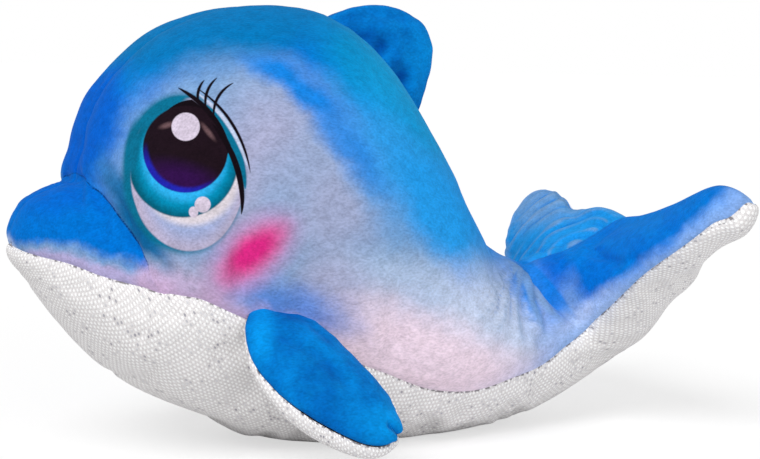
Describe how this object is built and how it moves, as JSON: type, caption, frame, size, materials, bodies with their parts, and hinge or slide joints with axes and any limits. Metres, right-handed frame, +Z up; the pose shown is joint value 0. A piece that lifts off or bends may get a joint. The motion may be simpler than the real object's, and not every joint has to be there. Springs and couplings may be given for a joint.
{
  "type": "plush dolphin",
  "caption": "Stuffed plush dolphin lying on its belly with its tail raised: printed plush sides, pale foil-dot belly, stuffed dorsal fin, pectoral fins and flukes.",
  "frame": {"origin": "on the floor, under the middle of the length and of the width of the whole toy", "axes": "+Z up, +X from the beak to the tail, the dolphin's left side at -Y"},
  "size_m": [0.4245, 0.2642, 0.253],
  "materials": {
    "printed_plush": "short-pile plush with a soft blue, lilac and pink print",
    "fin_plush": "short-pile plush, deep blue",
    "foil_dot_fabric": "off-white knit printed with small silver foil dots",
    "fibre_fill": "loose white polyester fibre"
  },
  "bodies": {
    "root": {"side_panel_left": "printed_plush", "side_panel_right": "printed_plush", "belly_panel": "foil_dot_fabric", "body_stuffing": "fibre_fill", "dorsal_fin_left_panel": "fin_plush", "dorsal_fin_right_panel": "fin_plush", "dorsal_fin_stuffing": "fibre_fill", "pectoral_fin_left_top": "fin_plush", "pectoral_fin_left_underside": "foil_dot_fabric", "pectoral_fin_left_stuffing": "fibre_fill", "pectoral_fin_right_top": "fin_plush", "pectoral_fin_right_underside": "foil_dot_fabric", "pectoral_fin_right_stuffing": "fibre_fill"}
  },
  "joints": []
}
